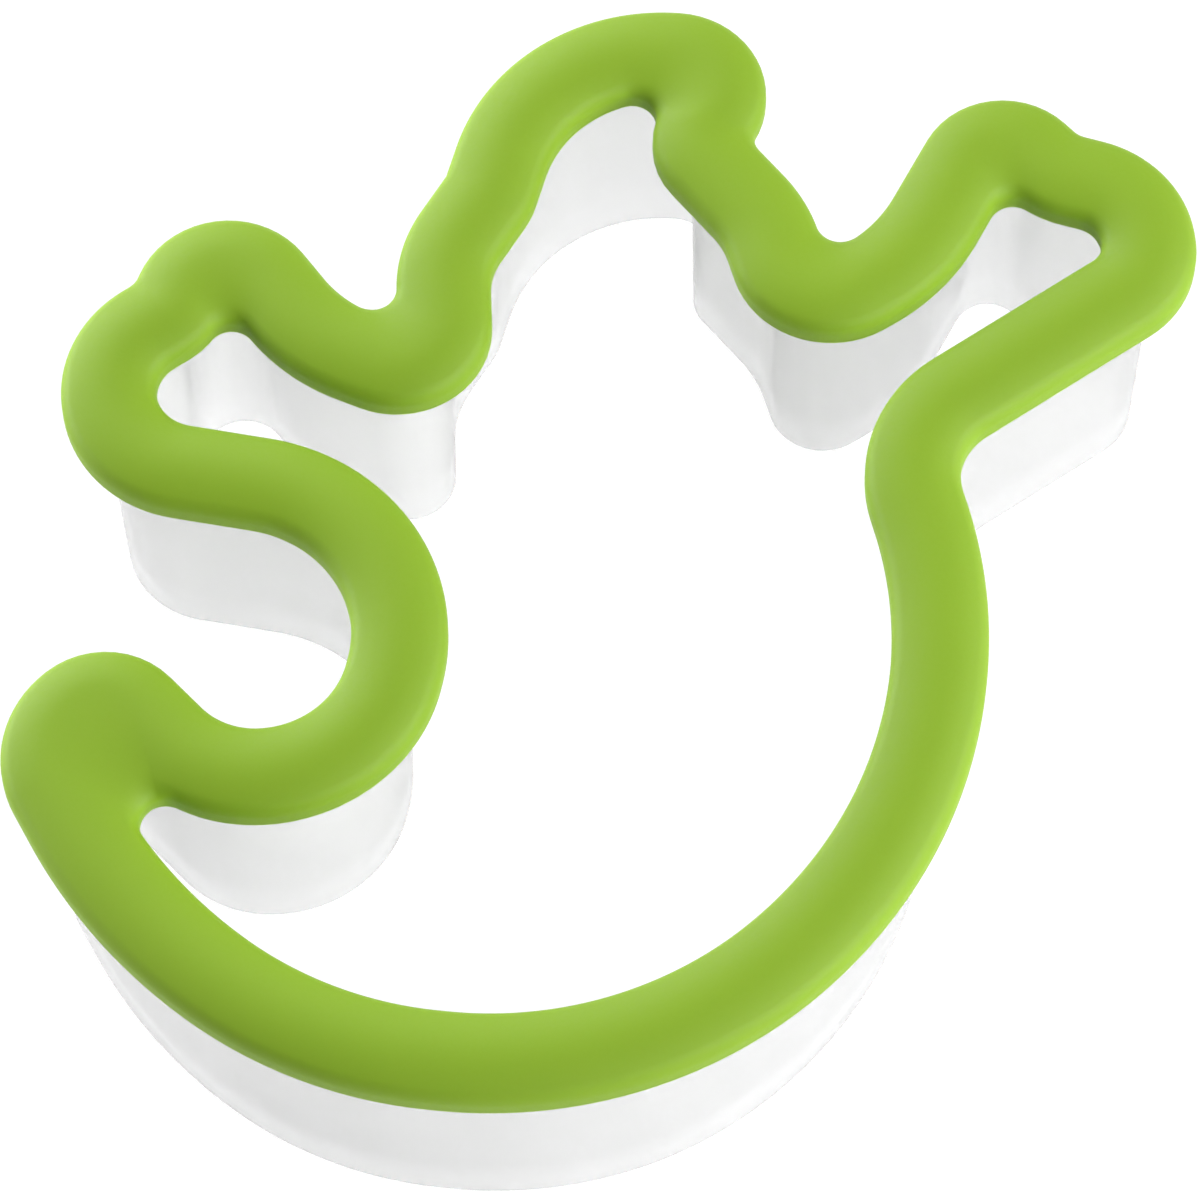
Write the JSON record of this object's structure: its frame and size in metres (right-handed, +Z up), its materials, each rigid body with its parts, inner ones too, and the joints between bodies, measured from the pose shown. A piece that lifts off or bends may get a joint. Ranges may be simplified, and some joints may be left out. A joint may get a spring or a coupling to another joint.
{
  "type": "cookie cutter",
  "caption": "Ghost-shaped cookie cutter: a thin upright plastic cutting wall with a soft rounded grip moulded over its top edge.",
  "frame": {"origin": "middle of the outline's bounding box, on the plane of the cutting edge", "axes": "+Z up from the cutting edge to the grip, +Y from the belly to the head, +X towards the right hand seen from above"},
  "size_m": [0.0942, 0.1042, 0.0316],
  "materials": {
    "wall": "moulded satin, slightly translucent white polypropylene",
    "grip": "moulded matte thermoplastic elastomer"
  },
  "bodies": {
    "root": {"cutter_wall": "wall", "grip_rim": "grip"}
  },
  "joints": []
}
